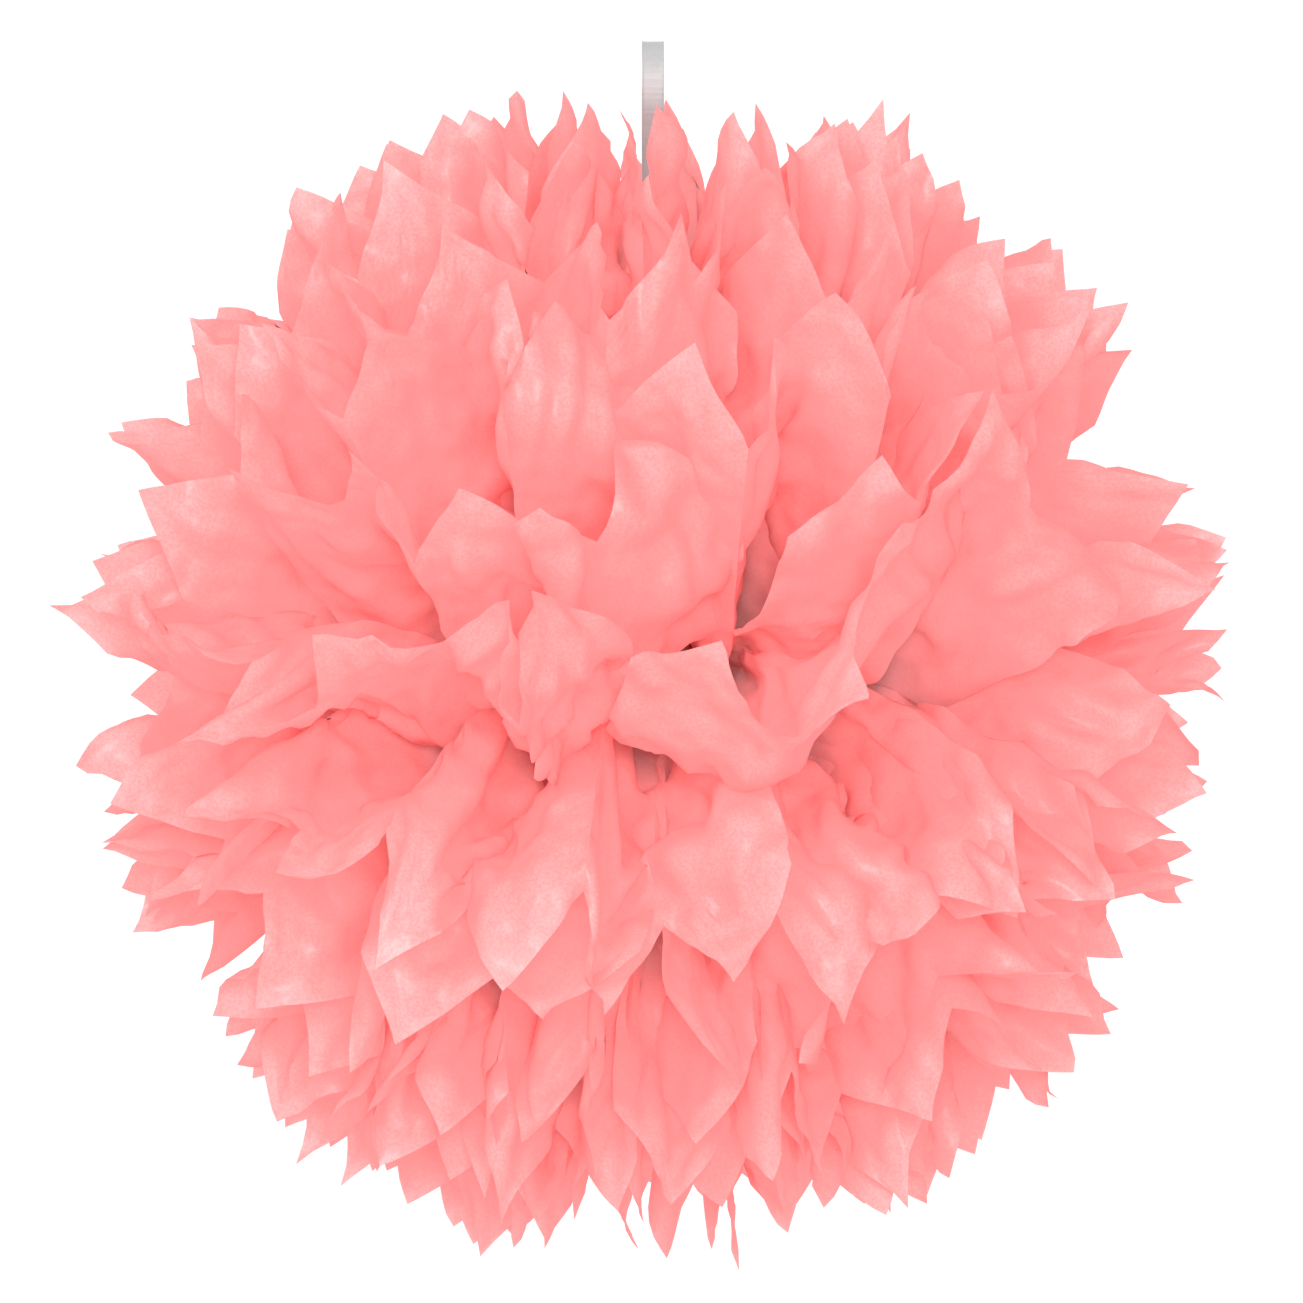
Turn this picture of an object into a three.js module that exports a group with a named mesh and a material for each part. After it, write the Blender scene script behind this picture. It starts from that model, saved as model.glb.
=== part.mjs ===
// Tissue paper pom pom, about 350 mm across, hung from a ribbon loop.
// Millimetres, +Z up. The origin is the top of the ribbon loop, where the pom pom hangs.
//
// A stack of tissue sheets is pleated into one strip that lies along X. A wire pinches the strip
// at its middle, both ends of the strip are trimmed to points, and each half is fanned out through
// half a turn about the vertical. The sheets are then pulled apart, up and down, into a ball.
import * as THREE from "three";

// Driving dimensions
const SHEET_COUNT = 12;
const SHEET_WIDTH = 660; // of one flat sheet, across its pleats
const PANEL_COUNT = 16; // pleat panels across one sheet
const PAPER_THICKNESS = 0.6; // a stand-in for real tissue, which is about 0.05
const LONGEST_SECTION = 3; // in thicknesses, through a leaning panel and square to the fan
const PETAL_REACH = 172; // from the end of the pinched waist to the point of a petal
const POINT_DEPTH = 30; // from the point of a petal back to the folds beside it
const WAIST_HALF_LENGTH = 6; // along X, from the wire to where the fans start
const WAIST_HALF_WIDTH = 4; // along Y
const WAIST_SHEET_PITCH = 1.2; // between neighbouring sheets at the waist
const FAN_HALF_ANGLE = 87; // degrees from the strip's own axis to the edge of a fan
const LOWEST_ELEVATION = 8; // degrees, of the two sheets beside the middle
const ELEVATION_STEP = 12.6; // degrees, from each sheet to the next one
const STEEPEST_FOLD = 82; // degrees, an elevation that the folds stay under
const FOLD_SHARE = 0.45; // how much of the room up to STEEPEST_FOLD the folds may take
const TILT = 5; // degrees, by which the ball's +X side hangs higher
const SEAM_TURN = 7; // degrees about Z, from the X axis to the strip
const WIRE_DIAMETER = 1;
const WIRE_TAIL = 13; // length of the twisted pair that closes the wire
const WIRE_TAIL_TURNS = 2;
const RIBBON_WIDTH = 6.5;
const RIBBON_THICKNESS = 0.5;
const CLEARANCE = 0.35; // between pieces that touch on the real thing
const CENTRE_DROP = 186; // from the hanging point down to the middle of the ball

const PANEL_WIDTH = SHEET_WIDTH / PANEL_COUNT;
const SHEETS_PER_SIDE = SHEET_COUNT / 2;
const COLLAR_SHARE = 0.1; // share of a petal's reach, next to the waist, that has no pleats
const RADIAL_STATIONS = [COLLAR_SHARE, 0.36, 1]; // shares of a petal's reach that get a row of points
const WAIST_HALF_HEIGHT = ((SHEET_COUNT - 1) * WAIST_SHEET_PITCH + PAPER_THICKNESS) / 2;

const TISSUE = { color: 0xff9393, roughness: 0.85, metalness: 0 };
const SATIN = { color: 0xcdcdcd, roughness: 0.5, metalness: 0 };
const STEEL = { color: 0xb8bcc0, roughness: 0.35, metalness: 0.9 };

const radians = THREE.MathUtils.degToRad;

function namedMesh(name, geometry, finish) {
  const mesh = new THREE.Mesh(geometry, new THREE.MeshStandardMaterial(finish));
  mesh.name = name;
  return mesh;
}

// Elevation of a sheet in radians. Sheets are counted from the lowest one up.
function sheetElevation(index) {
  const steps = index - SHEETS_PER_SIDE;
  const above = steps >= 0;
  const stepsFromMiddle = above ? steps : -steps - 1;
  const degrees = LOWEST_ELEVATION + ELEVATION_STEP * stepsFromMiddle;
  return radians(above ? degrees : -degrees);
}

// The arc that one panel covers at a distance from the waist.
function panelArc(elevation, distance) {
  const panelAngle = radians((2 * FAN_HALF_ANGLE) / PANEL_COUNT);
  return Math.min(panelAngle * distance * Math.cos(elevation), PANEL_WIDTH);
}

// How far the folds rise and fall from the middle of a panel, in radians, at a distance from the
// waist. A panel keeps its width: what its stretch of arc doesn't take goes into the pleat's depth.
function foldSwing(elevation, distance) {
  const depth = Math.sqrt(PANEL_WIDTH ** 2 - panelArc(elevation, distance) ** 2) / 2;
  const room = (radians(STEEPEST_FOLD) - Math.abs(elevation)) * FOLD_SHARE;
  return Math.min(depth / distance, room);
}

// The paper's extent square to the fan. A pleated panel leans, so its section there is longer.
function paperSection(elevation, distance, swing) {
  const arc = panelArc(elevation, distance);
  const lean = Math.hypot(arc, 2 * swing * distance) / arc;
  return PAPER_THICKNESS * Math.min(lean, LONGEST_SECTION);
}

// One column of a sheet runs along the strip, on a fold or along the middle of a panel.
function sheetColumns() {
  const columns = [];
  for (let i = 0; i <= 2 * PANEL_COUNT; i++) {
    const across = i / PANEL_COUNT - 1; // -1 and 1 at the fan's two edges
    const onFold = i % 2 === 0;
    columns.push({
      azimuth: radians(FAN_HALF_ANGLE) * across,
      waistY: WAIST_HALF_WIDTH * across,
      foldSide: onFold ? (i % 4 === 0 ? 1 : -1) : 0,
      reach: onFold ? PETAL_REACH - POINT_DEPTH : PETAL_REACH,
    });
  }
  return columns;
}

// One place in the fan: the middle of the paper, and the way from there to its upper face.
function fanPoint(side, column, share, waistZ, elevation) {
  const distance = column.reach * share;
  const lean = radians(TILT) * Math.cos(elevation) * Math.cos(column.azimuth) * side;
  const swing = share > COLLAR_SHARE ? foldSwing(elevation, distance) : 0;
  const rise = elevation + lean + column.foldSide * swing;
  const flat = distance * Math.cos(rise);
  const middle = new THREE.Vector3(
    side * (WAIST_HALF_LENGTH + flat * Math.cos(column.azimuth)),
    column.waistY + flat * Math.sin(column.azimuth),
    waistZ + distance * Math.sin(rise),
  );
  const across = new THREE.Vector3(
    -side * Math.sin(rise) * Math.cos(column.azimuth),
    -Math.sin(rise) * Math.sin(column.azimuth),
    Math.cos(rise),
  );
  across.multiplyScalar(paperSection(elevation, distance, swing) / 2);
  return { middle, across };
}

function waistPoint(x, column, waistZ) {
  return {
    middle: new THREE.Vector3(x, column.waistY, waistZ),
    across: new THREE.Vector3(0, 0, PAPER_THICKNESS / 2),
  };
}

// Rows of a sheet from the tips of its -X half, through the waist, to the tips of its +X half.
function sheetRows(index) {
  const elevation = sheetElevation(index);
  const waistZ = (index - (SHEET_COUNT - 1) / 2) * WAIST_SHEET_PITCH;
  const columns = sheetColumns();
  const fanRow = (side, share) => columns.map((c) => fanPoint(side, c, share, waistZ, elevation));
  const waistRow = (x) => columns.map((c) => waistPoint(x, c, waistZ));
  return [
    ...RADIAL_STATIONS.toReversed().map((share) => fanRow(-1, share)),
    waistRow(-WAIST_HALF_LENGTH),
    waistRow(0),
    waistRow(WAIST_HALF_LENGTH),
    ...RADIAL_STATIONS.map((share) => fanRow(1, share)),
  ];
}

// A closed sheet: the grid's upper face, its lower face, and a thin wall round the edge.
function closedSheet(rows) {
  const rowLength = rows[0].length;
  const faceSize = rows.length * rowLength;
  const positions = [];
  for (const face of [1, -1]) {
    for (const { middle, across } of rows.flat()) {
      positions.push(...middle.clone().addScaledVector(across, face).toArray());
    }
  }
  const upper = (r, c) => r * rowLength + c;
  const lower = (r, c) => faceSize + upper(r, c);
  const faces = [];
  // Both faces of the paper are split along the same diagonal, so that they never cross.
  const quad = (a, b, c, d) => faces.push(a, b, d, b, c, d);
  const lastRow = rows.length - 1;
  const lastColumn = rowLength - 1;
  for (let r = 0; r < lastRow; r++) {
    for (let c = 0; c < lastColumn; c++) {
      quad(upper(r, c), upper(r + 1, c), upper(r + 1, c + 1), upper(r, c + 1));
      quad(lower(r, c), lower(r, c + 1), lower(r + 1, c + 1), lower(r + 1, c));
    }
    quad(upper(r + 1, 0), upper(r, 0), lower(r, 0), lower(r + 1, 0));
    quad(upper(r, lastColumn), upper(r + 1, lastColumn), lower(r + 1, lastColumn), lower(r, lastColumn));
  }
  for (let c = 0; c < lastColumn; c++) {
    quad(upper(0, c), upper(0, c + 1), lower(0, c + 1), lower(0, c));
    quad(upper(lastRow, c + 1), upper(lastRow, c), lower(lastRow, c), lower(lastRow, c + 1));
  }
  const geometry = new THREE.BufferGeometry();
  geometry.setAttribute("position", new THREE.Float32BufferAttribute(positions, 3));
  geometry.setIndex(faces);
  geometry.computeVertexNormals();
  return geometry;
}

function tissueSheet(index) {
  const number = String(index + 1).padStart(2, "0");
  const geometry = closedSheet(sheetRows(index));
  return namedMesh("tissue_sheet_" + number, geometry, TISSUE);
}

// A section with eight sides: a flattened octagon, width along its first axis.
function eightSided(width, thickness, corner) {
  const outline = [
    [width / 2, thickness / 2 - corner],
    [width / 2 - corner, thickness / 2],
    [corner - width / 2, thickness / 2],
    [-width / 2, thickness / 2 - corner],
    [-width / 2, corner - thickness / 2],
    [corner - width / 2, -thickness / 2],
    [width / 2 - corner, -thickness / 2],
    [width / 2, corner - thickness / 2],
  ];
  return new THREE.Shape(outline.map(([x, y]) => new THREE.Vector2(x, y)));
}

// The wire goes once round the waist, and its two ends rise from the top as a twisted pair.
function centreWire() {
  const radius = WIRE_DIAMETER / 2;
  const halfHeight = WAIST_HALF_HEIGHT + 2 * CLEARANCE + radius;
  const halfWidth = WAIST_HALF_WIDTH + 2 * CLEARANCE + radius;
  const squareness = 0.3; // 1 would make the ring an ellipse
  const pairRadius = radius + CLEARANCE / 2;
  const tailSteps = 10;
  const ringSteps = 24;
  const points = [];
  const twist = (share, phase) => {
    const angle = share * WIRE_TAIL_TURNS * 2 * Math.PI + phase;
    const height = halfHeight + 2 * radius + WIRE_TAIL * share;
    return new THREE.Vector3(pairRadius * Math.cos(angle), pairRadius * Math.sin(angle), height);
  };
  for (let i = tailSteps; i >= 0; i--) points.push(twist(i / tailSteps, Math.PI));
  for (let i = 1; i < ringSteps; i++) {
    const share = i / ringSteps;
    const [sine, cosine] = [Math.sin(share * 2 * Math.PI), Math.cos(share * 2 * Math.PI)];
    points.push(
      new THREE.Vector3(
        pairRadius * (2 * share - 1),
        -halfWidth * Math.sign(sine) * Math.abs(sine) ** squareness,
        halfHeight * Math.sign(cosine) * Math.abs(cosine) ** squareness,
      ),
    );
  }
  for (let i = 0; i <= tailSteps; i++) points.push(twist(i / tailSteps, 0));
  const geometry = new THREE.ExtrudeGeometry(
    eightSided(WIRE_DIAMETER, WIRE_DIAMETER, radius * (2 - Math.SQRT2)),
    { steps: 72, extrudePath: new THREE.CatmullRomCurve3(points) },
  );
  return namedMesh("centre_wire", geometry, STEEL);
}

// The ribbon's route in its own upright plane, as [Y, Z]: from under the waist up behind it, over
// the top of the hanging loop at the origin, and down in front to its other end under the waist.
const RIBBON_HALF_ROUTE = [
  [0, 0],
  [5, -1],
  [9.2, -3.8],
  [12.1, -8.3],
  [13, -13.5],
  [11.8, -20],
  [8.6, -28],
  [5.4, -37],
  [3.6, -48],
  [3.2, -62],
  [4, -80],
  [6.2, -105],
  [9.2, -130],
  [11.8, -152],
  [13.1, -170],
  [13, -183],
  [11.3, -189.3],
  [7.6, -193.6],
  [2.4, -195.7],
];

function hangingRibbon() {
  const down = RIBBON_HALF_ROUTE.map(([y, z]) => new THREE.Vector3(0, -y, z));
  const up = RIBBON_HALF_ROUTE.slice(1).map(([y, z]) => new THREE.Vector3(0, y, z));
  const route = new THREE.CatmullRomCurve3([...up.reverse(), ...down]);
  const geometry = new THREE.ExtrudeGeometry(
    eightSided(RIBBON_WIDTH, RIBBON_THICKNESS, RIBBON_THICKNESS * 0.3),
    { steps: 60, extrudePath: route },
  );
  return namedMesh("hanging_ribbon", geometry, SATIN);
}

const ball = new THREE.Group();
ball.position.z = -CENTRE_DROP;
ball.rotation.z = radians(SEAM_TURN);
for (let index = 0; index < SHEET_COUNT; index++) ball.add(tissueSheet(index));
ball.add(centreWire());

const pomPom = new THREE.Group();
pomPom.add(ball, hangingRibbon());
export default pomPom;
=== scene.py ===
"""Tissue paper pom pom hung from a ribbon loop.

Each sheet of tissue is laid out as a flat grid, gathered into pleats at its pinched middle, fanned
out and bent along its own path. Springs then pull the paper towards its flat lengths, which is what
gives it the buckles and cupped petals of real tissue. The relaxing is done with numpy.
"""

import math

import bpy
import numpy as np
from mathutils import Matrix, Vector


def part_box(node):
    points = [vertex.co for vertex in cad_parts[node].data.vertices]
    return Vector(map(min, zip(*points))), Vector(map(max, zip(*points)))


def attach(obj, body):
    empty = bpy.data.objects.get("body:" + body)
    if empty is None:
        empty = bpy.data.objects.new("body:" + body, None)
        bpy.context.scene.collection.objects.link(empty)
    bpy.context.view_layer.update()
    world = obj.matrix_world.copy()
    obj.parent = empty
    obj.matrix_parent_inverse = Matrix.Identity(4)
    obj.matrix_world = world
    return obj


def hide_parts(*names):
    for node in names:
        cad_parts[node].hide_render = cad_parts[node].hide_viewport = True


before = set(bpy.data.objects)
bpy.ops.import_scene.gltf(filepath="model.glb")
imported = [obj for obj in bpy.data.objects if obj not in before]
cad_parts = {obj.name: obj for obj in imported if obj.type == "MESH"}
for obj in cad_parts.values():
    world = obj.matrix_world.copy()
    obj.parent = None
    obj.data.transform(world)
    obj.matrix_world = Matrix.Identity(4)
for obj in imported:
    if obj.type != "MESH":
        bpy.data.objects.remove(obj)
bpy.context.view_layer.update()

MM = 0.001

# Driving dimensions, in metres and degrees. These have the same values in the CAD.
SHEET_COUNT = 12
SHEET_WIDTH = 660 * MM  # of one flat sheet, across its pleats
PANEL_COUNT = 16
PANEL_WIDTH = SHEET_WIDTH / PANEL_COUNT
PETAL_REACH = 172 * MM  # from the end of the pinched waist to the point of a petal
WAIST_HALF_LENGTH = 6 * MM
WAIST_HALF_WIDTH = 4 * MM
WAIST_PITCH = 1.2 * MM  # between neighbouring sheets at the waist
FAN_HALF_ANGLE = 87  # near the waist, each half sheet fans out this far to both sides of the strip
SEAM_TURN = 7  # about Z, from the X axis to the strip
TILT = 5  # by which the ball's +X side hangs higher
RIBBON_WIDTH = 6.5 * MM

# The CAD's ribbon is a little thicker and its points a little deeper, and it has no torn points.
RIBBON_THICKNESS = 0.4 * MM
POINT_DEPTH = 28 * MM  # from the point of a petal back to the folds beside it
WISP_SHARE = 0.12  # of the points that are torn into a thin tail

# Crumples finer than the mesh use up this share of the paper's width and length. It was set so that
# the ball has its size in the photo.
TAKEN_UP = 0.035

COLUMNS_PER_PANEL = 8
COLUMNS = PANEL_COUNT * COLUMNS_PER_PANEL + 1
ROWS = 34  # from the waist to the cut edge of one half
HALVES = 2 * SHEET_COUNT  # sheet by sheet from the lowest, -X half first
RELAX_STEPS = 300
RANDOM_SEED = 7

# Slopes of each sheet's path in degrees, from the lowest sheet to the highest: where it leaves the
# waist and at its points, on the ball's two sides, and at its front and back, where the sheets part
# and their petals turn up or down.
SIDE_WAIST_SLOPES = [-62, -51, -40, -29, -18, -7, 1, 12, 24, 36, 50, 65]
SIDE_TIP_SLOPES = [-73, -63, -52, -40, -27, -13, 2, 16, 30, 44, 60, 76]
FRONT_WAIST_SLOPES = [-64, -55, -45, -34, -23, -13, -9, 2, 14, 27, 42, 60]
FRONT_TIP_SLOPES = [-85, -84, -82, -79, -75, -66, 64, 76, 81, 84, 87, 88]

# Where the front paths start and stop turning, as a share of the reach. The middle sheets start
# late, so they lie together there and close the ball's front.
FRONT_TURN_STARTS = [0, 0, 0.05, 0.1, 0.2, 0.33, 0.33, 0.2, 0.1, 0.05, 0, 0]
FRONT_TURN_END = 0.95

SIDE_CROWDING = 0.28  # share by which the pleats crowd at the ball's sides and spread in front
SEAM_STAGGER = 12  # how far past the seam every second sheet reaches
SEAM_OVERLAP = 12  # and how far the two halves of one sheet overlap there
LIFT = 8  # how far all sheets on one side rise or dip together here and there
PETAL_TILT = 12  # how far single petals typically stray up or down
PETAL_CURL = 34  # how far their outer parts typically curl
POINT_CURL = 55  # and how far their points do

PAPER_WAVES = [(8 * MM, 75 * MM), (3 * MM, 32 * MM)]  # heights and wavelengths of the first shape's waves
MOMENTUM = 0.82  # share of its last move that each point keeps while the paper relaxes

# Linear brightness before and after the picture's tone curve. It lifts the shadows and lowers the
# rest, and was set by comparing how bright the render and the photo are.
TONE_CURVE = [(0.1, 0.17), (0.235, 0.28), (0.345, 0.325), (0.435, 0.38), (0.55, 0.49), (0.75, 0.71)]

SHEET_NAMES = [f"tissue_sheet_{number:02d}" for number in range(1, SHEET_COUNT + 1)]
LOWEST = min(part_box(name)[0][2] for name in SHEET_NAMES)
HIGHEST = max(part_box(name)[1][2] for name in SHEET_NAMES)
CENTRE_Z = (LOWEST + HIGHEST) / 2


# ---------------------------------------------------------------- camera, light and floor

def add_camera():
    """Level with the ball and straight in front of it, through a long lens."""
    data = bpy.data.cameras.new("camera")
    data.lens = 122
    data.sensor_width = 36
    camera = bpy.data.objects.new("camera", data)
    bpy.context.collection.objects.link(camera)
    camera.location = (-0.4 * MM, -1.3, CENTRE_Z + 6.6 * MM)
    camera.rotation_euler = (math.radians(90), 0, 0)
    bpy.context.scene.camera = camera


def add_area_light(name, location, size, power):
    data = bpy.data.lights.new(name, "AREA")
    data.shape = "SQUARE"
    data.size = size
    data.energy = power
    light = bpy.data.objects.new(name, data)
    bpy.context.collection.objects.link(light)
    light.location = location
    towards = Vector((0, 0, CENTRE_Z)) - Vector(location)
    light.rotation_euler = towards.to_track_quat("-Z", "Y").to_euler()


def add_floor():
    """A pale floor under the hanging ball. What the camera sees of it is as white as the background."""
    half, level = 6.0, CENTRE_Z - 0.62
    mesh = bpy.data.meshes.new("floor")
    corners = [(-half, -half, level), (half, -half, level), (half, half, level), (-half, half, level)]
    mesh.from_pydata(corners, [], [(0, 1, 2, 3)])
    floor = bpy.data.objects.new("floor", mesh)
    bpy.context.collection.objects.link(floor)
    material, _, _, shader = new_material("floor_paint")
    shader.inputs["Base Color"].default_value = (0.93, 0.93, 0.93, 1)
    shader.inputs["Roughness"].default_value = 0.9
    floor.data.materials.append(material)


def set_light_paths():
    """Enough bounces for the light to reach down between the petals, and faster tracing there."""
    cycles = bpy.context.scene.cycles
    cycles.max_bounces = 10
    cycles.diffuse_bounces = 4
    cycles.transmission_bounces = 7
    cycles.use_light_tree = False
    cycles.debug_use_spatial_splits = True


def set_tone():
    view = bpy.context.scene.view_settings
    view.view_transform = "Standard"
    view.use_curve_mapping = True
    all_channels = view.curve_mapping.curves[3]
    for before, after in TONE_CURVE:
        all_channels.points.new(before, after)
    view.curve_mapping.update()


def add_studio():
    """A white room's even light, a soft key light from the upper left, and one behind the camera."""
    world = bpy.data.worlds.new("studio")
    bpy.context.scene.world = world
    world.use_nodes = True
    background = world.node_tree.nodes["Background"]
    background.inputs["Color"].default_value = (1, 1, 1, 1)
    background.inputs["Strength"].default_value = 1.1
    add_area_light("key", (-1.0, -2.0, 1.0), 0.7, 40)
    add_area_light("front", (0.15, -2.6, 0.1), 0.7, 55)
    add_floor()
    set_light_paths()
    set_tone()


# ---------------------------------------------------------------- material helpers

def new_material(name):
    material = bpy.data.materials.new(name)
    material.use_nodes = True
    nodes, links = material.node_tree.nodes, material.node_tree.links
    return material, nodes, links, nodes["Principled BSDF"]


def noise_node(nodes, links, vector, scale, detail):
    noise = nodes.new("ShaderNodeTexNoise")
    noise.inputs["Scale"].default_value = scale
    noise.inputs["Detail"].default_value = detail
    links.new(vector, noise.inputs["Vector"])
    return noise.outputs["Fac"]


def ramp_node(nodes, links, factor, stops):
    ramp = nodes.new("ShaderNodeValToRGB")
    elements = ramp.color_ramp.elements
    while len(elements) < len(stops):
        elements.new(0.5)
    for element, (position, colour) in zip(elements, stops):
        element.position = position
        element.color = (*colour, 1)
    links.new(factor, ramp.inputs["Fac"])
    return ramp.outputs["Color"]


def bump_node(nodes, links, height, distance, strength):
    bump = nodes.new("ShaderNodeBump")
    bump.inputs["Distance"].default_value = distance
    bump.inputs["Strength"].default_value = strength
    links.new(height, bump.inputs["Height"])
    return bump.outputs["Normal"]


# ---------------------------------------------------------------- the flat pattern

def torn_wisps(rng):
    """How far each column's point is drawn out: on a few of the panels, by several millimetres."""
    torn = rng.random((HALVES, PANEL_COUNT)) < WISP_SHARE
    length = torn * rng.uniform(4 * MM, 8 * MM, (HALVES, PANEL_COUNT))
    return np.append(np.repeat(length, COLUMNS_PER_PANEL, axis=1), np.zeros((HALVES, 1)), axis=1)


def flat_pattern(rng):
    """Where each grid point lies on the flat paper: across the pleats and out from the waist."""
    column = np.arange(COLUMNS)
    phase = (column % COLUMNS_PER_PANEL) / COLUMNS_PER_PANEL
    from_fold = 1 - np.abs(2 * phase - 1)
    depth = POINT_DEPTH * (1 + 0.1 * rng.standard_normal((HALVES, 1)))
    reach = PETAL_REACH - depth * (1 - from_fold) ** 1.08
    reach = reach + 2.0 * MM * rng.standard_normal((HALVES, 1))
    reach = reach + torn_wisps(rng) * from_fold**6
    across = np.broadcast_to(column * PANEL_WIDTH / COLUMNS_PER_PANEL, (HALVES, COLUMNS))
    share = np.linspace(0, 1, ROWS)[None, :, None]
    along = share * reach[:, None, :]
    across = np.broadcast_to(across[:, None, :], along.shape)
    return np.stack([across, along], axis=-1)


# ---------------------------------------------------------------- the fanned shape before relaxing

def smooth_step(low, high, value):
    share = np.clip((value - low) / (high - low), 0, 1)
    return share * share * (3 - 2 * share)


def random_waves(rng, flat, wavelength, count=7):
    """A smooth random field over each half sheet, mostly between -1 and 1, of about that wavelength."""
    field = np.zeros(flat.shape[:3])
    for _ in range(count):
        angle = rng.uniform(0, np.pi, (HALVES, 1, 1))
        pitch = wavelength * rng.uniform(0.7, 1.5, (HALVES, 1, 1))
        phase = rng.uniform(0, 2 * np.pi, (HALVES, 1, 1))
        distance = flat[..., 0] * np.cos(angle) + flat[..., 1] * np.sin(angle)
        field += np.sin(2 * np.pi * distance / pitch + phase)
    return field / math.sqrt(count)


def per_panel(values):
    """Panel values spread over the columns: each panel's own at its middle, blended in between."""
    middles = (np.arange(PANEL_COUNT) + 0.5) * COLUMNS_PER_PANEL
    columns = np.arange(COLUMNS)
    return np.stack([np.interp(columns, middles, row) for row in values])


def seam_edges(rng):
    """Where each half sheet's front and back edges come to in azimuth, at its points, in radians."""
    side = np.tile([-1.0, 1.0], SHEET_COUNT)
    step = np.repeat((-1.0) ** np.arange(SHEET_COUNT), 2)

    def edge(start):
        stagger = np.repeat(rng.uniform(0.5, 1.3, SHEET_COUNT), 2) * SEAM_STAGGER
        return np.radians(90 + SEAM_OVERLAP / 2 + start * side * step * stagger)

    return -edge(1)[:, None, None], edge(-1)[:, None, None]


def fan_azimuth(rng, along):
    """The azimuth of each point, unevenly spread between seams that wander from sheet to sheet."""
    shared = 1 + 0.2 * rng.standard_normal((2, PANEL_COUNT)) + 0.35 * (-1.0) ** np.arange(PANEL_COUNT)
    steps = np.tile(shared, (SHEET_COUNT, 1)) + 0.35 * rng.standard_normal((HALVES, PANEL_COUNT))
    middle_azimuth = np.radians(FAN_HALF_ANGLE) * (2 * np.arange(PANEL_COUNT) + 1 - PANEL_COUNT) / PANEL_COUNT
    steps = np.clip(steps, 0.35, 1.9) * (1 - SIDE_CROWDING * np.cos(2 * middle_azimuth))
    folds = np.concatenate([np.zeros((HALVES, 1)), np.cumsum(steps, axis=1)], axis=1)
    folds = folds / folds[:, -1:]
    fold_columns = np.arange(PANEL_COUNT + 1) * COLUMNS_PER_PANEL
    spread = np.stack([np.interp(np.arange(COLUMNS), fold_columns, row) for row in folds])[:, None, :]
    first, last = seam_edges(rng)
    even = np.radians(FAN_HALF_ANGLE) * np.linspace(-1, 1, COLUMNS)
    outer = smooth_step(18 * MM, 65 * MM, along)
    return even * (1 - outer) + (first + (last - first) * spread) * outer


def path_slopes(rng, flat, azimuth):
    """The slope of the paper along each column, in radians: from the waist's, it bends to the tip's."""
    share = flat[..., 1] / PETAL_REACH
    frontness = np.sin(azimuth) ** 2

    def slope(side_values, front_values):
        side_angle, front_angle = (
            np.repeat(np.radians(values), 2)[:, None, None] for values in (side_values, front_values)
        )
        return side_angle + (front_angle - side_angle) * frontness

    at_waist = slope(SIDE_WAIST_SLOPES, FRONT_WAIST_SLOPES)
    at_tip = slope(SIDE_TIP_SLOPES, FRONT_TIP_SLOPES)
    start = np.repeat(FRONT_TURN_STARTS, 2)[:, None, None]
    front_turn = smooth_step(start, FRONT_TURN_END, share)
    path = at_waist + (at_tip - at_waist) * (share**1.2 * (1 - frontness) + front_turn * frontness)
    side = np.tile([-1.0, 1.0], SHEET_COUNT)[:, None, None]
    lean = np.radians(TILT) * side * np.cos(azimuth)
    phases = np.tile(rng.uniform(0, 2 * np.pi, (3, 2)), (1, SHEET_COUNT))[:, :, None, None]
    lift = sum(np.sin(count * azimuth + phase) for count, phase in zip((3, 5, 8), phases)) / 1.7
    path = path + (lean + np.radians(LIFT) * lift * share**0.5) * np.cos(path)

    def petals(degrees):
        return np.radians(degrees) * per_panel(rng.standard_normal((HALVES, PANEL_COUNT)))[:, None, :]

    path = path + petals(PETAL_TILT) * share + petals(PETAL_CURL) * share**3
    path = path + petals(POINT_CURL) * share**9
    return path + np.radians(7) * random_waves(rng, flat, 150 * MM) * share


def pleat_heights(azimuth, out):
    """How far the paper stands off the smooth fan, where each panel keeps its width between folds."""
    fold_azimuth = azimuth[..., ::COLUMNS_PER_PANEL]
    fold_out = out[..., ::COLUMNS_PER_PANEL]
    arc = np.diff(fold_azimuth, axis=-1) * np.abs(fold_out[..., 1:] + fold_out[..., :-1]) / 2
    rise = np.sqrt(PANEL_WIDTH**2 - np.minimum(arc, PANEL_WIDTH) ** 2)
    padded = np.concatenate([rise[..., :1], rise, rise[..., -1:]], axis=-1)
    heights = (padded[..., 1:] + padded[..., :-1]) / 4 * (-1.0) ** np.arange(PANEL_COUNT + 1)
    weight = (np.arange(COLUMNS) % COLUMNS_PER_PANEL) / COLUMNS_PER_PANEL
    before = np.arange(COLUMNS) // COLUMNS_PER_PANEL
    after = np.minimum(before + 1, PANEL_COUNT)
    return heights[..., before] * (1 - weight) + heights[..., after] * weight


def pleat_swing(rng, flat, azimuth, out, mean_slope):
    """How far the pleats and the paper's own waves stand off the smooth fan."""
    along = flat[..., 1]
    room = (np.radians(86) - np.abs(mean_slope)) * 0.6 * np.maximum(along, 1e-6)
    room = np.clip(room, 0, None)
    swing = np.clip(pleat_heights(azimuth, out), -room, room) * smooth_step(0, 30 * MM, along)
    share = along / PETAL_REACH
    for height, wavelength in PAPER_WAVES:
        swing = swing + height * random_waves(rng, flat, wavelength) * share
    return swing


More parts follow.
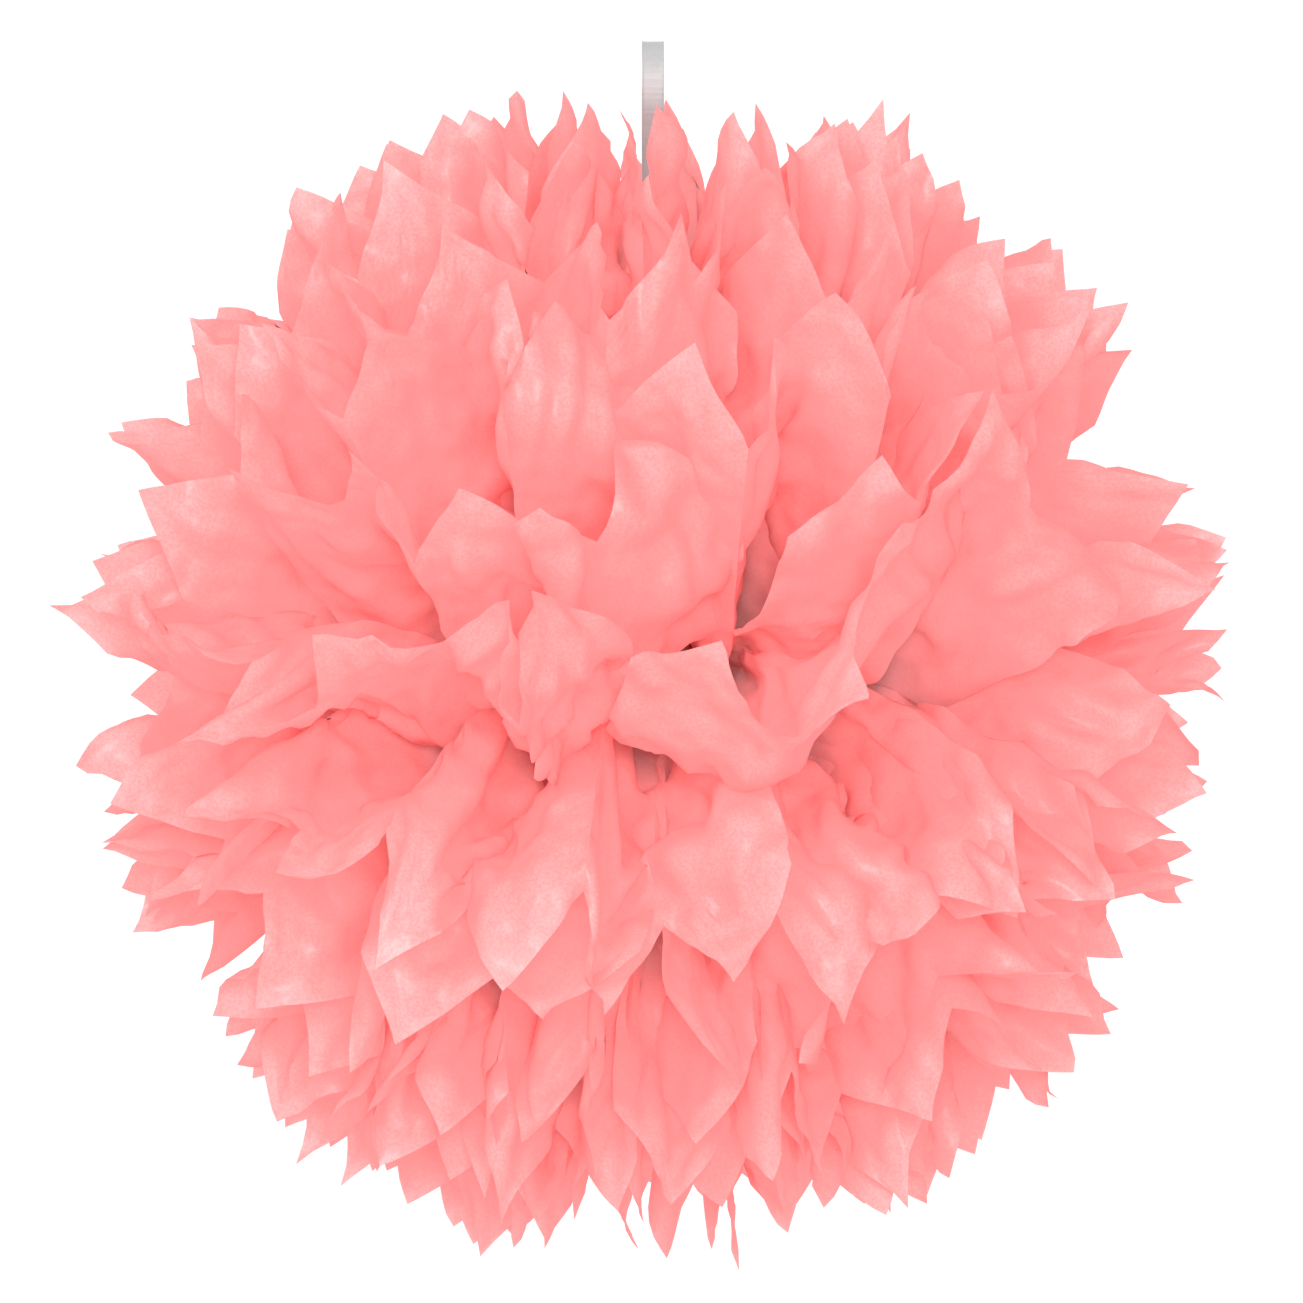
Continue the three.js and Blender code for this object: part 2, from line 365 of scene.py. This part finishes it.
def fan_shape(rng, flat):
    """The paper fanned out along smooth paths, with its pleats, before it is relaxed."""
    azimuth = fan_azimuth(rng, flat[..., 1])
    path = path_slopes(rng, flat, azimuth)
    steps = np.diff(flat[..., 1], axis=1)
    mid_path = (path[:, 1:] + path[:, :-1]) / 2
    zero = np.zeros((HALVES, 1, COLUMNS))
    out = np.concatenate([zero, np.cumsum(np.cos(mid_path) * steps, axis=1)], axis=1)
    up = np.concatenate([zero, np.cumsum(np.sin(mid_path) * steps, axis=1)], axis=1)
    swing = pleat_swing(rng, flat, azimuth, out, np.arctan2(up, np.maximum(out, 1e-6)))
    level = (np.repeat(np.arange(SHEET_COUNT), 2) - (SHEET_COUNT - 1) / 2) * WAIST_PITCH
    waist_y = WAIST_HALF_WIDTH * np.linspace(-1, 1, COLUMNS)
    flat_out = out - swing * np.sin(path)
    x = WAIST_HALF_LENGTH + flat_out * np.cos(azimuth)
    y = waist_y + flat_out * np.sin(azimuth)
    z = level[:, None, None] + up + swing * np.cos(path)
    return np.stack([x, y, z], axis=-1)


# ---------------------------------------------------------------- relaxing the paper

def grid_spring(rows, columns):
    """Both ends of every spring of that many rows and columns, in batches that share no point."""
    length, stride = (ROWS, rows) if rows else (COLUMNS, columns)
    whole = slice(None)
    for start in range(2 * stride):
        first = slice(start, length - stride, 2 * stride)
        second = slice(start + stride, length, 2 * stride)
        if not rows:
            yield (whole, whole, first), (whole, whole, second)
        elif columns > 0:
            yield (whole, first, slice(0, -columns)), (whole, second, slice(columns, None))
        elif columns < 0:
            yield (whole, first, slice(-columns, None)), (whole, second, slice(0, columns))
        else:
            yield (whole, first), (whole, second)


def spring_set(flat, rows, columns, shorten, lengthen):
    """Springs with their flat lengths, and how stiffly each resists being shorter or longer."""
    springs = []
    for first, second in grid_spring(rows, columns):
        length = np.linalg.norm(flat[second] - flat[first], axis=-1)
        along = (flat[second][..., 1] + flat[first][..., 1]) / 2
        springs.append((first, second, length.astype(np.float32), shorten(along, first), lengthen))
    return springs


def pull_springs(points, springs):
    for first, second, length, shorten, lengthen in springs:
        gap = points[second] - points[first]
        now = np.sqrt((gap * gap).sum(axis=-1)) + 1e-9
        excess = (now - length) / now
        share = np.where(excess > 0, lengthen, shorten) * excess * 0.5
        move = gap * share[..., None]
        points[first] += move
        points[second] -= move


def keep_sheets_apart(points, along):
    """Pushes each sheet up off the one below it, point by point, along the way that the fan swings."""
    pairs = points.reshape(SHEET_COUNT, 2, ROWS, COLUMNS, 3)
    gap = pairs[1:] - pairs[:-1]
    middle = (pairs[1:] + pairs[:-1]) / 2
    out = np.sqrt(middle[..., 0] ** 2 + middle[..., 1] ** 2) + 1e-6
    tilt = np.arctan2(middle[..., 2], out)
    rise = np.stack(
        [
            -np.sin(tilt) * middle[..., 0] / out,
            -np.sin(tilt) * middle[..., 1] / out,
            np.cos(tilt),
        ],
        axis=-1,
    )
    wanted = along.reshape(SHEET_COUNT, 2, ROWS, COLUMNS)[1:] * 0.05 + 0.8 * MM
    short = np.maximum(wanted - (gap * rise).sum(axis=-1), 0) * 0.5
    move = rise * short[..., None]
    pairs[1:] += move
    pairs[:-1] -= move


def relax_paper(flat, start):
    """Springs pull the paper towards its flat lengths. Its folds bend freely and its panels resist."""
    along = flat[..., 1].astype(np.float32)
    fold = np.arange(COLUMNS) % COLUMNS_PER_PANEL == 0

    def crushed(stiffness):
        """Against being shortened: none near the waist, where the paper may be crushed together."""
        return lambda distance, _: (stiffness * smooth_step(25 * MM, 85 * MM, distance)).astype(np.float32)

    def bend_across(distance, first):
        over_fold = np.roll(fold, -1)[first[2]]
        stiffness = np.where(over_fold, 0.0, 0.22)
        return (stiffness * smooth_step(40 * MM, 100 * MM, distance)).astype(np.float32)

    springs = []
    for rows, columns in ((0, 1), (1, 0), (1, 1), (1, -1)):
        springs += spring_set(flat, rows, columns, crushed(0.9), 0.9)
    springs += spring_set(flat, 0, 2, bend_across, 0.0)
    springs += spring_set(flat, 2, 0, crushed(0.22), 0.0)

    points = start.astype(np.float32).copy()
    target = points.copy()
    before = points.copy()
    waist_hold = 0.6 * (1 - smooth_step(10 * MM, 45 * MM, along))
    petal_hold = 0.012 * (1 - smooth_step(60 * MM, 165 * MM, along))
    hold = (waist_hold + petal_hold + 0.0012)[..., None].astype(np.float32)
    for step in range(RELAX_STEPS):
        drift = (points - before) * MOMENTUM
        before = points.copy()
        points += drift
        points += (target - points) * hold
        pull_springs(points, springs)
        if step % 4 == 3:
            keep_sheets_apart(points, along)
    return points


# ---------------------------------------------------------------- from the relaxed grid to a mesh

def refine_half_panels(grid):
    """Halves the column spacing. Each half panel is smooth, and folds and petal points stay sharp."""
    run = COLUMNS_PER_PANEL // 2
    result = [grid[:, :, :1]]
    for start in range(0, COLUMNS - 1, run):
        part = grid[:, :, start : start + run + 1]
        first = (3 * part[:, :, 0] + 6 * part[:, :, 1] - part[:, :, 2]) / 8
        last = (3 * part[:, :, -1] + 6 * part[:, :, -2] - part[:, :, -3]) / 8
        inner = (9 * (part[:, :, 1:-2] + part[:, :, 2:-1]) - part[:, :, :-3] - part[:, :, 3:]) / 16
        middles = np.concatenate([first[:, :, None], inner, last[:, :, None]], axis=2)
        for index in range(run):
            result.append(middles[:, :, index : index + 1])
            result.append(part[:, :, index + 1 : index + 2])
    return np.concatenate(result, axis=2)


def refine_rows(grid):
    """Halves the row spacing along smooth curves."""
    first = (3 * grid[:, 0] + 6 * grid[:, 1] - grid[:, 2]) / 8
    last = (3 * grid[:, -1] + 6 * grid[:, -2] - grid[:, -3]) / 8
    inner = (9 * (grid[:, 1:-2] + grid[:, 2:-1]) - grid[:, :-3] - grid[:, 3:]) / 16
    middles = np.concatenate([first[:, None], inner, last[:, None]], axis=1)
    refined = np.empty((grid.shape[0], 2 * grid.shape[1] - 1, *grid.shape[2:]), grid.dtype)
    refined[:, 0::2] = grid
    refined[:, 1::2] = middles
    return refined


def grid_normals(grid):
    down = np.gradient(grid, axis=1)
    across = np.gradient(grid, axis=2)
    normal = np.cross(down, across)
    return normal / (np.linalg.norm(normal, axis=-1, keepdims=True) + 1e-12)


def crumple(rng, flat, wavelength, facets, spread):
    """Facets with sharp ridges between them, as crumpled paper has, mostly between -1 and 1.

    The ridges stray from the petals' own direction by up to half the spread, in radians.
    """
    field = np.zeros(flat.shape[:3])
    bend = 0.25 * wavelength * random_waves(rng, flat, 2.2 * wavelength, 3)
    for _ in range(facets):
        angle = spread * rng.uniform(-0.5, 0.5, (HALVES, 1, 1))
        pitch = wavelength * rng.uniform(0.6, 1.7, (HALVES, 1, 1))
        phase = rng.uniform(0, 1, (HALVES, 1, 1))
        distance = (flat[..., 0] * np.cos(angle) + flat[..., 1] * np.sin(angle) + bend) / pitch + phase
        field += 4 * np.abs(distance % 1 - 0.5) - 1
    return field / math.sqrt(facets)


def add_crumples(rng, flat, grid):
    """Long creases along the petals, and patches where the paper was crushed in the hand."""
    out = flat[..., 1] / PETAL_REACH
    patches = smooth_step(-0.2, 0.9, random_waves(rng, flat, 110 * MM))
    finer_patches = smooth_step(0, 0.9, random_waves(rng, flat, 60 * MM))
    height = 1.4 * MM * crumple(rng, flat, wavelength=19 * MM, facets=3, spread=0.6)
    height += 1.8 * MM * crumple(rng, flat, wavelength=28 * MM, facets=3, spread=math.pi) * patches
    height += 0.9 * MM * crumple(rng, flat, wavelength=12 * MM, facets=4, spread=math.pi) * finer_patches
    return grid + grid_normals(grid) * (height * smooth_step(0.15, 0.4, out))[..., None]


def whole_sheets(halves):
    """Joins the two halves of each sheet across its waist, from the -X points to the +X points."""
    pairs = halves.reshape(SHEET_COUNT, 2, *halves.shape[1:])
    return np.concatenate([pairs[:, 0, ::-1], pairs[:, 1]], axis=1)


def keep_folds_sharp(mesh, columns):
    """Marks the edges that run along the pleats' folds, so that smooth shading stops at them."""
    ends = np.empty(2 * len(mesh.edges), dtype=np.int32)
    mesh.edges.foreach_get("vertices", ends)
    column = ends.reshape(-1, 2) % columns
    one_column = column[:, 0] == column[:, 1]
    on_fold = column[:, 0] % (columns // PANEL_COUNT) == 0
    sharp = mesh.attributes.new("sharp_edge", "BOOLEAN", "EDGE")
    sharp.data.foreach_set("value", one_column & on_fold)


def sheet_mesh(name, points, flat):
    """One sheet as a grid of quads, with the flat paper's own coordinates as its UVs."""
    rows, columns = points.shape[:2]
    index = np.arange(rows * columns).reshape(rows, columns)
    corners = [index[:-1, :-1], index[1:, :-1], index[1:, 1:], index[:-1, 1:]]
    faces = np.stack(corners, axis=-1).reshape(-1, 4)
    mesh = bpy.data.meshes.new(name)
    mesh.vertices.add(rows * columns)
    mesh.vertices.foreach_set("co", points.reshape(-1).astype(np.float32))
    mesh.loops.add(faces.size)
    mesh.loops.foreach_set("vertex_index", faces.reshape(-1).astype(np.int32))
    mesh.polygons.add(len(faces))
    mesh.polygons.foreach_set("loop_start", np.arange(0, faces.size, 4, dtype=np.int32))
    mesh.update(calc_edges=True)
    mesh.shade_smooth()
    keep_folds_sharp(mesh, columns)
    layer = mesh.uv_layers.new(name="paper")
    layer.data.foreach_set("uv", flat.reshape(-1, 2)[faces.reshape(-1)].reshape(-1).astype(np.float32))
    return mesh


def add_sheets():
    rng = np.random.default_rng(RANDOM_SEED)
    flat = flat_pattern(rng)
    crumpled = flat * (1 - TAKEN_UP)
    grid = relax_paper(crumpled, fan_shape(rng, crumpled))
    grid = refine_rows(refine_half_panels(grid.astype(np.float64)))
    flat = refine_rows(refine_half_panels(flat))
    grid = add_crumples(rng, flat, grid)

    side = np.tile([-1.0, 1.0], SHEET_COUNT)[:, None, None]
    grid[..., 0] *= side
    signed = np.stack([flat[..., 0], flat[..., 1] * side], axis=-1)
    sheets, papers = whole_sheets(grid), whole_sheets(signed)
    turn = math.radians(SEAM_TURN)
    x = sheets[..., 0] * math.cos(turn) - sheets[..., 1] * math.sin(turn)
    y = sheets[..., 0] * math.sin(turn) + sheets[..., 1] * math.cos(turn)
    sheets = np.stack([x, y, sheets[..., 2] + CENTRE_Z], axis=-1)

    tissue = tissue_material()
    for name, points, paper in zip(SHEET_NAMES, sheets, papers):
        piece = bpy.data.objects.new(name.replace("tissue_sheet", "tissue"), sheet_mesh(name, points, paper))
        bpy.context.collection.objects.link(piece)
        piece.data.materials.append(tissue)
        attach(piece, "root")
        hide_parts(name)


# ---------------------------------------------------------------- materials

def tissue_material():
    """Thin coral tissue: it reflects and lets through about as much light, with a patchy faint sheen."""
    material, nodes, links, shader = new_material("coral_tissue")
    place = nodes.new("ShaderNodeTexCoord").outputs["Object"]
    fibres = noise_node(nodes, links, place, 1300, 0)
    crinkles = noise_node(nodes, links, place, 140, 0)
    coral = [(0.35, (1.0, 0.345, 0.345)), (0.65, (1.0, 0.395, 0.39))]
    colour = ramp_node(nodes, links, fibres, coral)
    links.new(colour, shader.inputs["Base Color"])
    glazed_to_matt = [(0.45, (0.36, 0.36, 0.36)), (0.55, (0.6, 0.6, 0.6))]
    links.new(ramp_node(nodes, links, crinkles, glazed_to_matt), shader.inputs["Roughness"])
    shader.inputs["Specular IOR Level"].default_value = 0.45
    normal = bump_node(nodes, links, crinkles, 1.2 * MM, 1.0)
    links.new(normal, shader.inputs["Normal"])
    through = nodes.new("ShaderNodeBsdfTranslucent")
    links.new(colour, through.inputs["Color"])
    blend = nodes.new("ShaderNodeMixShader")
    blend.inputs["Fac"].default_value = 0.55
    links.new(shader.outputs["BSDF"], blend.inputs[1])
    links.new(through.outputs["BSDF"], blend.inputs[2])
    links.new(blend.outputs["Shader"], nodes["Material Output"].inputs["Surface"])
    return material


def satin_material():
    """Grey satin that looks pale in this light, with fine ribs across the ribbon and a soft shine."""
    material, nodes, links, shader = new_material("grey_satin")
    place = nodes.new("ShaderNodeTexCoord").outputs["Object"]
    threads = nodes.new("ShaderNodeTexWave")
    threads.wave_type = "BANDS"
    threads.bands_direction = "Z"
    threads.inputs["Scale"].default_value = 900
    threads.inputs["Distortion"].default_value = 0.6
    links.new(place, threads.inputs["Vector"])
    height = threads.outputs["Fac"]
    grey = [(0.2, (0.25, 0.25, 0.25)), (0.8, (0.28, 0.28, 0.28))]
    links.new(ramp_node(nodes, links, height, grey), shader.inputs["Base Color"])
    shader.inputs["Roughness"].default_value = 0.42
    shader.inputs["Sheen Weight"].default_value = 0.1
    links.new(bump_node(nodes, links, height, 0.05 * MM, 0.5), shader.inputs["Normal"])
    return material


def wire_material():
    material, nodes, links, shader = new_material("florist_wire")
    place = nodes.new("ShaderNodeTexCoord").outputs["Object"]
    draw = noise_node(nodes, links, place, 2500, 2)
    steel = [(0.3, (0.5, 0.5, 0.52)), (0.7, (0.66, 0.67, 0.69))]
    links.new(ramp_node(nodes, links, draw, steel), shader.inputs["Base Color"])
    shader.inputs["Metallic"].default_value = 0.9
    shader.inputs["Roughness"].default_value = 0.35
    return material


# ---------------------------------------------------------------- the ribbon and the wire

# The ribbon's route in its own upright plane, as (Y, Z) in millimetres: from the top of the hanging
# loop, where the origin is, down one side to its end under the waist. The other side mirrors it.
RIBBON_HALF_ROUTE = [
    (0, 0),
    (5, -1),
    (9.2, -3.8),
    (12.1, -8.3),
    (13, -13.5),
    (11.8, -20),
    (8.6, -28),
    (5.4, -37),
    (3.6, -48),
    (3.2, -62),
    (4, -80),
    (6.2, -105),
    (9.2, -130),
    (11.8, -152),
    (13.1, -170),
    (13, -183),
    (11.3, -189.3),
    (7.6, -193.6),
    (2.4, -195.7),
]


def smooth_route(points, count):
    """Evenly spaced places along a Catmull-Rom curve through the points."""
    padded = [2 * points[0] - points[1], *points, 2 * points[-1] - points[-2]]
    fine = []
    for before, first, second, after in zip(padded, padded[1:], padded[2:], padded[3:]):
        for share in np.linspace(0, 1, 12, endpoint=False):
            fine.append(
                0.5
                * (
                    2 * first
                    + (second - before) * share
                    + (2 * before - 5 * first + 4 * second - after) * share**2
                    + (3 * first - before - 3 * second + after) * share**3
                )
            )
    fine = np.array([*fine, points[-1]])
    travelled = np.concatenate([[0], np.cumsum(np.linalg.norm(np.diff(fine, axis=0), axis=1))])
    wanted = np.linspace(0, travelled[-1], count)
    return np.stack([np.interp(wanted, travelled, fine[:, axis]) for axis in range(fine.shape[1])], axis=1)


def add_ribbon():
    """A flat band with thicker edges, its width square to the plane that its route lies in."""
    down = [np.array([-y, z]) * MM for y, z in RIBBON_HALF_ROUTE]
    up = [np.array([y, z]) * MM for y, z in RIBBON_HALF_ROUTE[1:]]
    route = smooth_route([*reversed(up), *down], 220)
    tangent = np.gradient(route, axis=0)
    tangent /= np.linalg.norm(tangent, axis=1, keepdims=True)
    normal = np.stack([-tangent[:, 1], tangent[:, 0]], axis=1)
    half, thick, selvedge = RIBBON_WIDTH / 2, RIBBON_THICKNESS / 2, 0.35 * MM
    section = [
        (-half, 0.6 * thick), (selvedge - half, thick), (2 * selvedge - half, 0.55 * thick),
        (half - 2 * selvedge, 0.55 * thick), (half - selvedge, thick), (half, 0.6 * thick),
    ]
    section += [(x, -height) for x, height in reversed(section)]
    ring = len(section)
    vertices = []
    for (y, z), (across_y, across_z) in zip(route, normal):
        for x, height in section:
            vertices.append((x, y + across_y * height, z + across_z * height))
    faces = [tuple(range(ring)), tuple(range(len(vertices) - 1, len(vertices) - 1 - ring, -1))]
    for row in range(len(route) - 1):
        for corner in range(ring):
            following = (corner + 1) % ring
            low, high = row * ring, (row + 1) * ring
            faces.append((low + corner, high + corner, high + following, low + following))
    mesh = bpy.data.meshes.new("ribbon")
    mesh.from_pydata(vertices, [], faces)
    mesh.update()
    piece = bpy.data.objects.new("ribbon", mesh)
    bpy.context.collection.objects.link(piece)
    mesh.materials.append(satin_material())
    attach(piece, "root")
    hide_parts("hanging_ribbon")


def finish_wire():
    wire = bpy.data.objects["centre_wire"]
    material = wire_material()
    if wire.material_slots:
        for slot in wire.material_slots:
            slot.material = material
    else:
        wire.data.materials.append(material)


add_camera()
add_ribbon()
add_studio()
add_sheets()
finish_wire()
